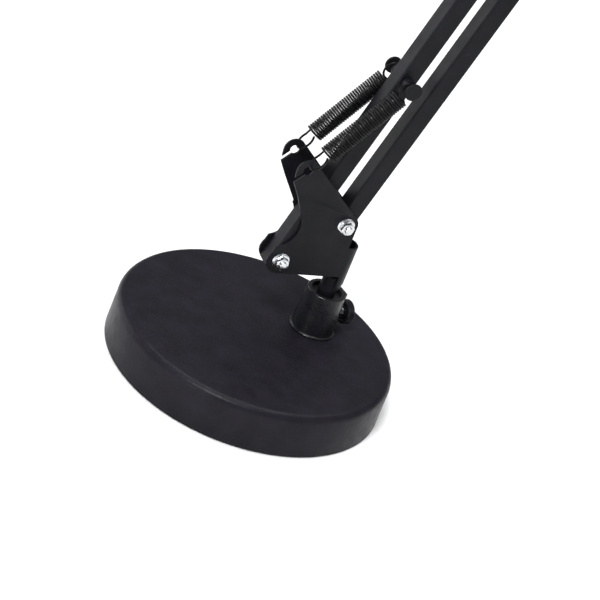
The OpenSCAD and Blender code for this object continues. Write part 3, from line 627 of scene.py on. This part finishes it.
def flange_hexagon(bm, sizes):
    """A hexagon on a round coned flange that lies on z = 0."""
    rim, top = sizes.flange, sizes.rim
    flange = [(0.0, 0.0), (rim - FLANGE_BREAK, 0.0), (rim, FLANGE_BREAK),
              (rim, top - FLANGE_BREAK), (rim - FLANGE_CORNER, top),
              (sizes.flats * FLANGE_INNER, top + FLANGE_RISE), (0.0, top + FLANGE_RISE)]
    lathe_metres(bm, flange, 56)
    hexagon(bm, sizes.flats, top + HEXAGON_SINK, sizes.hexagon)


def pivot_hardware(prefix, body, places, turns):
    """The bolts and nuts of a row of pivots: nuts on the near side, heads on the far side."""
    sizes = settings("lamp_fasteners")
    half_width = POST.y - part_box(prefix + "_nuts")[1].y
    nuts, bolts = bmesh.new(), bmesh.new()
    shank = [(0.0, -sizes.hexagon), (sizes.shank, -sizes.hexagon),
             (sizes.shank, 2 * half_width + SHANK_INSIDE), (0.0, 2 * half_width + SHANK_INSIDE)]
    for place, turn in zip(places, turns):
        near_face = place + Vector((0, -half_width, 0))
        near = turned((0, -1, 0), near_face) @ Matrix.Rotation(math.radians(turn), 4, "Z")
        far = turned((0, 1, 0), place + Vector((0, half_width, 0)))
        put(nuts, near, flange_hexagon, sizes)
        put(bolts, near, threaded_end, sizes.shank, sizes.hexagon - THREAD_INSIDE,
            sizes.hexagon + sizes.out, sizes.pitch)
        put(bolts, far, flange_hexagon, sizes)
        put(bolts, far, lathe, HEAD_RECESS, 36, closed=False)
        put(bolts, turned((0, 1, 0), near_face), lathe_metres, shank, 32)
    for kind, bm in (("nuts", nuts), ("bolts", bolts)):
        settle(make_object(f"{prefix}_flange_{kind}", bm), body,
               [f"{prefix}_{kind}"], ["zinc"])


def wire_mesh(name, points, radius):
    """A round wire along a line of points, as a closed mesh."""
    curve = bpy.data.curves.new(name, "CURVE")
    curve.dimensions = "3D"
    curve.bevel_depth = radius
    curve.bevel_resolution = 2
    curve.use_fill_caps = True
    line = curve.splines.new("POLY")
    line.points.add(len(points) - 1)
    for knot, point in zip(line.points, points):
        knot.co = (*point, 1.0)
    holder = bpy.data.objects.new(name + "_line", curve)
    bpy.context.scene.collection.objects.link(holder)
    bpy.context.view_layer.update()
    bm = bmesh.new()
    bm.from_mesh(holder.to_mesh())
    holder.to_mesh_clear()
    bpy.data.objects.remove(holder)
    return make_object(name, bm)


def spring_line(span, sizes):
    """Points of a wound spring along +X, with X = 0 in the hook's eye and span at the pin.

    The hook's loop lies in the XY plane, and the loop around the pin in the XZ plane."""
    coil = sizes.coil
    start, end = sizes.hook_lead, span - sizes.pin_lead
    turns = round((end - start) / sizes.pitch)
    near_end = sizes.eye - sizes.wire
    long = (start - HOOK_LOOP_CLEAR - near_end) / 2
    points = []
    for step in range(HOOK_LOOP_STEPS + 1):
        angle = math.radians(HOOK_LOOP_START + HOOK_LOOP_SWEEP * step / HOOK_LOOP_STEPS)
        points.append((near_end + long + long * math.cos(angle), coil * math.sin(angle), 0.0))
    count = turns * POINTS_PER_TURN + 3 * POINTS_PER_TURN // 4
    for step in range(count + 1):
        angle = TURN * step / POINTS_PER_TURN
        x = start + (end - start) * step / count
        points.append((x, coil * math.cos(angle), coil * math.sin(angle)))
    ring = span + sizes.pin + sizes.wire - coil * PIN_LOOP_SIZE
    for step in range(PIN_LOOP_STEPS + 1):
        angle = math.radians(PIN_LOOP_START + PIN_LOOP_SWEEP * step / PIN_LOOP_STEPS)
        points.append((ring + coil * PIN_LOOP_SIZE * math.cos(angle), 0.0,
                       coil * math.sin(angle)))
    return points


def spring(node, hook, pin):
    """A tension spring between a hook's eye and a pin, fixed in place on no body."""
    sizes = settings("lamp_springs")
    along = pin - hook
    frame_x = along.normalized()
    frame_y = Vector((0, 1, 0))
    frame_z = frame_x.cross(frame_y)
    points = [hook + frame_x * x + frame_y * y + frame_z * z
              for x, y, z in spring_line(along.length, sizes)]
    piece = wire_mesh(node + "_wound", points, sizes.wire)
    settle(piece, None, [node], ["wire"])
    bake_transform(piece)


# ---- Pieces ----

class LAMP_OT_base(bpy.types.Operator):
    """Spins the pressed cover and finishes the weight, board and pad under it"""
    bl_idname = "lamp.base"
    bl_label = "Base"

    def execute(self, context):
        s = settings("lamp_base")
        r, h, t = s.radius / MM, s.height / MM, s.sheet / MM
        draft, edge, lift = s.draft / MM, s.edge / MM, s.lift / MM
        edge_steps = 12
        lean_below_edge = 0.8
        inner_slope, inner_drop = 1.2, 0.8
        outer = [(r, lift), (r - draft * lean_below_edge, h - edge)]
        for step in range(1, edge_steps + 1):
            angle = math.radians(90 * step / edge_steps)
            outer.append((r - draft - edge + edge * math.cos(angle),
                          h - edge + edge * math.sin(angle)))
        outer += [(r * 0.5, h), (0.0, h)]
        inner = [(0.0, h - t), (r - draft - edge, h - t),
                 (r - draft - t - inner_slope, h - edge + inner_drop), (r - t, lift)]
        bm = bmesh.new()
        lathe(bm, outer + inner, 200)
        settle(make_object("base_cover_pressed", bm), "base", ["base_cover"],
               ["base"])
        dress_all([("base_weight", "_cast", "iron", ("iron",), 1.0),
                   ("base_board", "_fibre", "board", ("board",), 0.2),
                   ("base_pad", "_foam", "pad", ("foam",), 0.5)])
        return {"FINISHED"}


class LAMP_OT_post(bpy.types.Operator):
    """Finishes the cast socket with its screw and washer"""
    bl_idname = "lamp.post"
    bl_label = "Post socket"

    def execute(self, context):
        dress_all([("post_socket", "_cast", "black_steel", ("cast",), 0.55),
                   ("post_screw", "_hexagon", "zinc", ("zinc",), 0.25),
                   ("post_washer", "_round", "zinc", ("zinc",), 0.2)])
        return {"FINISHED"}


class LAMP_OT_thumb_screw(bpy.types.Operator):
    """Makes the knurled thumb screw and its steel stud"""
    bl_idname = "lamp.thumb_screw"
    bl_label = "Thumb screw"

    def execute(self, context):
        s = settings("lamp_base")
        r, t, out = s.knob_radius / MM, s.knob_thickness / MM, s.knob_out / MM
        outwards = turned(joint_facts("thumb_screw_turn")["axis"], THUMB)
        # Inner face with its hub and ring groove, the rim, and the shallow outer dish
        profile = [(0.0, out + 0.25), (3.0, out + 0.25), (3.4, out), (4.3, out),
                   (4.6, out + 0.3), (4.8, out + 1.0), (5.5, out + 1.0), (5.8, out + 0.3),
                   (6.1, out), (r - 0.9, out), (r - 0.35, out + 0.2), (r, out + 0.7),
                   (r, out + t - 0.7), (r - 0.35, out + t - 0.2), (r - 0.9, out + t),
                   (r - 2.2, out + t), (r - 2.6, out + t - 0.5), (0.0, out + t - 0.5)]
        rim_width, knurl_depth = 0.4, 0.38
        bm = bmesh.new()
        columns = 2 * s.knurls
        lathe(bm, profile, columns, closed=False)
        press_columns(bm, columns, 1, 2, (r - rim_width) * MM, knurl_depth * MM)
        bmesh.ops.transform(bm, matrix=outwards, verts=bm.verts[:])
        settle(make_object("thumb_screw_head", bm, KNURL_FOLD_ANGLE), "thumb_screw",
               ["thumb_knob"], ["coat"])
        crest, root, pitch = 2.87, 2.55, 0.8
        tip, thread_start = 6.6, 7.1
        stud = [(0.0, tip), (2.2, tip), (2.7, thread_start)]
        z = thread_start
        while z < out - 1.0:
            stud += [(crest, z + 0.2), (crest, z + 0.35), (root, z + 0.7)]
            z += pitch
        stud += [(crest, z), (crest, out + t - 1.0), (0.0, out + t - 1.0)]
        bm = bmesh.new()
        lathe(bm, stud, 40, closed=False)
        bmesh.ops.transform(bm, matrix=outwards, verts=bm.verts[:])
        settle(make_object("thumb_screw_stud", bm), "thumb_screw", ["thumb_stud"],
               ["zinc"])
        return {"FINISHED"}


class LAMP_OT_bracket(bpy.types.Operator):
    """Finishes the folded swivel bracket"""
    bl_idname = "lamp.bracket"
    bl_label = "Swivel bracket"

    def execute(self, context):
        dress("swivel_bracket", "swivel_bracket_folded")
        return {"FINISHED"}


class LAMP_OT_pivots(bpy.types.Operator):
    """Makes the flange bolts and nuts of all eight pivots and finishes their sleeves"""
    bl_idname = "lamp.pivots"
    bl_label = "Pivot bolts and nuts"

    def execute(self, context):
        pivot_hardware("lower_pivot", "bracket", [REAR, FRONT], LOWER_NUT_TURNS)
        pivot_hardware("elbow", "elbow", [ELBOW_REAR, ELBOW_FRONT, UPPER_LOW, UPPER_TOP],
                       ELBOW_NUT_TURNS)
        pivot_hardware("head", "head", [HEAD_LOW, HEAD_TOP], HEAD_NUT_TURNS)
        dress_all([(node, "_turned", "zinc", ("zinc",), 0.15)
                   for node in ("lower_pivot_sleeves", "elbow_sleeves", "head_sleeves")])
        return {"FINISHED"}


class LAMP_OT_bars(bpy.types.Operator):
    """Finishes the four square tubes of the arms and the two spring pins"""
    bl_idname = "lamp.bars"
    bl_label = "Arm bars"

    def execute(self, context):
        for node in ("lower_rear_bar", "lower_front_bar", "upper_lower_bar", "upper_top_bar"):
            dress(node, node + "_tube", edge=0.18)
        for node in ("lower_spring_pin", "upper_spring_pin"):
            dress(node, node + "_turned", edge=0.45)
        return {"FINISHED"}


class LAMP_OT_springs(bpy.types.Operator):
    """Winds the four tension springs"""
    bl_idname = "lamp.springs"
    bl_label = "Tension springs"

    def execute(self, context):
        s = settings("lamp_springs")
        sets = (("lower", REAR, Vector(s.lower_hook), ("bracket", "lower_rear")),
                ("upper", UPPER_TOP, Vector(s.upper_hook), ("elbow", "upper_top")))
        for arm, pivot, to_hook, bodies in sets:
            low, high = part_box(arm + "_spring_pin")
            for side in ("near", "far"):
                node = f"{arm}_spring_{side}"
                across = sum(corner.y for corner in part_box(node)) / 2
                hook, pin = pivot + to_hook, (low + high) / 2
                hook.y = pin.y = across
                spring(node, hook, pin)
        return {"FINISHED"}


class LAMP_OT_plates(bpy.types.Operator):
    """Finishes the two elbow plates and the two head plates"""
    bl_idname = "lamp.plates"
    bl_label = "Elbow and head plates"

    def execute(self, context):
        for node in ("elbow_plate_near", "elbow_plate_far", "head_plate_near",
                     "head_plate_far"):
            dress(node, node + "_pressed")
        return {"FINISHED"}


class LAMP_OT_tilt(bpy.types.Operator):
    """Finishes the tilt bolt, its washer, the grip knob and the shade's arm"""
    bl_idname = "lamp.tilt"
    bl_label = "Tilt pivot"

    def execute(self, context):
        dress_all([("tilt_bolt", "_hexagon", "zinc", ("zinc",), 0.25),
                   ("tilt_washer", "_round", "zinc", ("zinc",), 0.15),
                   ("tilt_knob", "_grip", "black_plastic", ("plastic",), 0.9),
                   ("shade_arm", "_cast", "black_steel", ("coat",), 0.6),
                   ("shade_screws", "_round", "zinc", ("zinc",), 0.35)])
        return {"FINISHED"}


class LAMP_OT_shade(bpy.types.Operator):
    """Finishes the spun shade, black outside and white inside"""
    bl_idname = "lamp.shade"
    bl_label = "Shade"

    def execute(self, context):
        low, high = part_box("shade")
        middle = (low + high) / 2
        bead, roof = 3 * MM, 3 * MM

        def inside(point, normal):
            out = Vector((point.x - middle.x, point.y - middle.y, 0)).normalized()
            under_roof = normal.z < -0.5 and point.z > high.z - roof
            return normal.dot(out) < -0.3 and point.z > low.z + bead or under_roof

        dress("shade", "shade_spun", ("coat", "enamel"), 0.2, inside)
        return {"FINISHED"}


class LAMP_OT_lampholder(bpy.types.Operator):
    """Finishes the lampholder, its ring, its threaded shell and its contact"""
    bl_idname = "lamp.lampholder"
    bl_label = "Lampholder"

    def execute(self, context):
        dress_all([("lampholder_body", "_moulded", "black_plastic", ("plastic",), 0.6),
                   ("lampholder_ring", "_moulded", "black_plastic", ("plastic",), 0.7),
                   ("lampholder_shell", "_pressed", "brass", ("brass",), 0.1),
                   ("lampholder_contact", "_stud", "brass", ("brass",), 0.5)])
        return {"FINISHED"}


class LAMP_OT_bulb(bpy.types.Operator):
    """Spins the pear-shaped glass and finishes the bulb's screw cap"""
    bl_idname = "lamp.bulb"
    bl_label = "Bulb"

    def execute(self, context):
        s = settings("lamp_head")
        low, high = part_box("bulb_glass")
        wide, neck, tall = s.bulb_radius / MM, s.neck_radius / MM, (high.z - low.z) / MM
        wall, ball_steps, ball_sweep = 0.8, 16, 115
        outer = []
        for step in range(ball_steps + 1):
            angle = math.radians(-90 + ball_sweep * step / ball_steps)
            outer.append((wide * math.cos(angle), wide + wide * math.sin(angle)))
        start_r, start_z = outer[-1]
        for t in (0.2, 0.4, 0.6, 0.8, 1.0):
            ease = t * t * (3 - 2 * t)
            outer.append((start_r + (neck - start_r) * ease, start_z + (tall - start_z) * t))
        inner = [(max(0.0, r - wall), min(tall, z + (wall if z < wide else 0.0)))
                 for r, z in reversed(outer)]
        outer[0], inner[-1] = (0.0, 0.0), (0.0, wall)
        bm = bmesh.new()
        lathe(bm, outer + inner)
        bmesh.ops.transform(bm, matrix=Matrix.Translation((TILT.x, TILT.y, low.z)),
                            verts=bm.verts[:])
        settle(make_object("bulb_glass_blown", bm), "shade_head", ["bulb_glass"],
               ["glass"])
        dress("bulb_cap", "bulb_cap_rolled", ("zinc",), 0.3)
        return {"FINISHED"}


class LAMP_OT_switch(bpy.types.Operator):
    """Makes the ribbed switch knob and finishes the switch's collar and the cord gland"""
    bl_idname = "lamp.switch"
    bl_label = "Switch and gland"

    def execute(self, context):
        s = settings("lamp_head")
        r, tall = s.switch_radius / MM, s.switch_height / MM
        seat = (s.neck + s.switch_lift) / MM
        spindle_r, spindle = 2.0, 6.4
        # The spindle, the seat, the slightly coned rim and the domed top
        profile = [(0.0, seat - spindle), (spindle_r, seat - spindle), (spindle_r, seat),
                   (r - 0.6, seat), (r, seat + 0.6), (r - 0.3, seat + tall - 2.0),
                   (r - 0.9, seat + tall - 0.7), (r - 2.0, seat + tall - 0.1),
                   (r - 3.0, seat + tall), (0.0, seat + tall - 0.4)]
        columns, rim_width, rib_depth = 72, 1.0, 0.45
        bm = bmesh.new()
        lathe(bm, profile, columns, closed=False)
        press_columns(bm, columns, 0, 3, (r - rim_width) * MM, rib_depth * MM)
        bmesh.ops.transform(bm, matrix=turned((-1, 0, 0), SWITCH), verts=bm.verts[:])
        settle(make_object("switch_knob_ribbed", bm, RIB_FOLD_ANGLE), "switch",
               ["switch_knob"], ["plastic"])
        dress_all([("switch_body", "_collar", "black_plastic", ("plastic",), 0.3),
                   ("cord_gland", "_moulded", "black_plastic", ("plastic",), 0.5)])
        return {"FINISHED"}


class LAMP_OT_stage(bpy.types.Operator):
    """Sets up the pale floor, the soft lights, the world and the camera"""
    bl_idname = "lamp.stage"
    bl_label = "Studio"

    def execute(self, context):
        scene = context.scene
        bm = bmesh.new()
        bmesh.ops.create_grid(bm, x_segments=FLOOR_CELLS, y_segments=FLOOR_CELLS,
                              size=FLOOR_HALF)
        floor = make_object("studio_floor", bm)
        floor.data.materials.append(FINISHES["floor"])
        world = bpy.data.worlds.new("soft_studio")
        world.use_nodes = True
        sky = world.node_tree.nodes["Background"]
        sky.inputs["Color"].default_value = SKY_COLOUR
        sky.inputs["Strength"].default_value = SKY_STRENGTH
        scene.world = world
        for name, place, size, power in SOFTBOXES:
            lamp = bpy.data.lights.new(name, "AREA")
            lamp.shape = "SQUARE"
            lamp.size = size
            lamp.energy = power
            holder = bpy.data.objects.new(name, lamp)
            holder.location = place
            aim = LIGHT_AIM - Vector(place)
            holder.rotation_euler = aim.to_track_quat("-Z", "Y").to_euler()
            scene.collection.objects.link(holder)
        lens = bpy.data.cameras.new("camera")
        lens.lens = CAMERA_LENS
        lens.sensor_width = SENSOR_WIDTH
        lens.clip_end = FAR_CLIP
        camera = bpy.data.objects.new("camera", lens)
        look = (CAMERA_AIM - CAMERA_PLACE).to_track_quat("-Z", "Y").to_matrix().to_4x4()
        roll = Matrix.Rotation(CAMERA_ROLL, 4, "Z")
        camera.matrix_world = Matrix.Translation(CAMERA_PLACE) @ look @ roll
        scene.collection.objects.link(camera)
        scene.camera = camera
        scene.view_settings.view_transform = "Standard"
        return {"FINISHED"}


class LAMP_PT_pieces(bpy.types.Panel):
    """Lists the lamp's pieces in the sidebar"""
    bl_label = "Desk lamp"
    bl_idname = "LAMP_PT_pieces"
    bl_space_type = "VIEW_3D"
    bl_region_type = "UI"
    bl_category = "Lamp"

    def draw(self, context):
        for operator in OPERATORS:
            self.layout.operator(operator.bl_idname)
        for group in GROUPS:
            box = self.layout.box()
            values = getattr(context.scene, group)
            for name in values.bl_rna.properties.keys():
                if name not in ("name", "rna_type"):
                    box.prop(values, name)


OPERATORS = (LAMP_OT_stage, LAMP_OT_base, LAMP_OT_post, LAMP_OT_thumb_screw, LAMP_OT_bracket,
             LAMP_OT_pivots, LAMP_OT_bars, LAMP_OT_springs, LAMP_OT_plates, LAMP_OT_tilt,
             LAMP_OT_shade, LAMP_OT_lampholder, LAMP_OT_bulb, LAMP_OT_switch)


def register():
    """Registers the sizes, the operators and the panel."""
    for group in GROUPS.values():
        bpy.utils.register_class(group)
    for name, group in GROUPS.items():
        setattr(bpy.types.Scene, name, PointerProperty(type=group))
    for cls in (*OPERATORS, LAMP_PT_pieces):
        bpy.utils.register_class(cls)


def unregister():
    """Removes the panel, the operators and the sizes."""
    for cls in (LAMP_PT_pieces, *reversed(OPERATORS)):
        bpy.utils.unregister_class(cls)
    for name, group in GROUPS.items():
        delattr(bpy.types.Scene, name)
        bpy.utils.unregister_class(group)


def main():
    """Builds every piece."""
    register()
    make_finishes()
    for operator in OPERATORS:
        family, name = operator.bl_idname.split(".")
        getattr(getattr(bpy.ops, family), name)()


if __name__ == "__main__":
    main()
